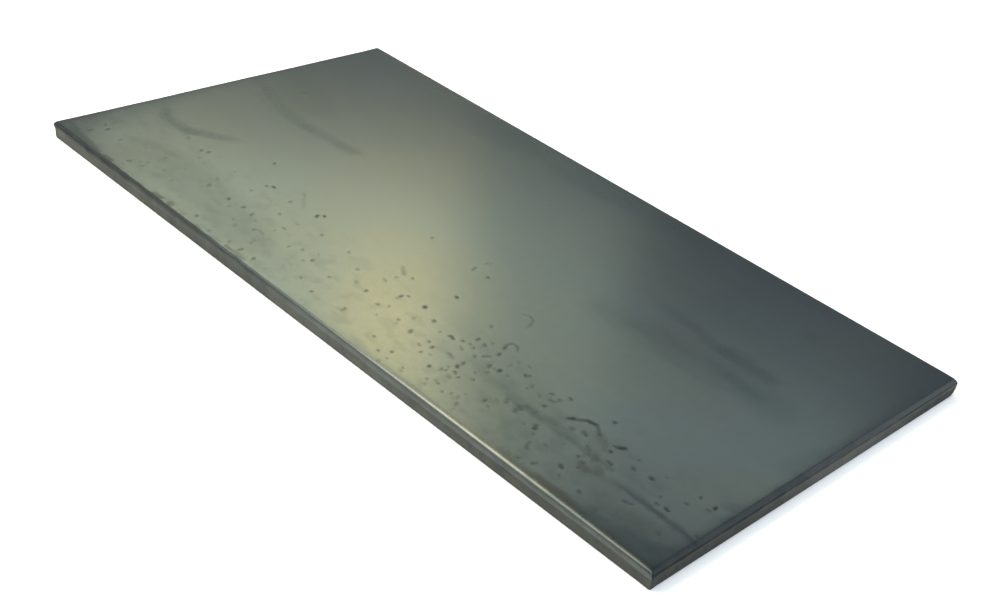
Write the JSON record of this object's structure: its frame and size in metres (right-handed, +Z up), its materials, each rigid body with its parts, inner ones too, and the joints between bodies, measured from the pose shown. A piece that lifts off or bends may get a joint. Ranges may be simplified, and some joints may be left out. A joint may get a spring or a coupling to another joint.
{
  "type": "steel plate",
  "caption": "Flat rectangular blank of hot-rolled steel plate with mill scale, sheared edges and one rounded as-rolled long edge, lying flat as raw stock.",
  "frame": {"origin": "centre of the plate's underside, which is the bottom centre of its box", "axes": "+X along the length towards the near end, +Y across the width towards the rounded as-rolled edge, +Z up out of the top face"},
  "size_m": [0.6, 0.3, 0.012],
  "materials": {
    "mill_scale_steel": "hot-rolled mill scale: blue-grey oxide with brown and olive stains, smears, pits and a dull to satin sheen"
  },
  "bodies": {
    "root": {"plate": "mill_scale_steel"}
  },
  "joints": []
}
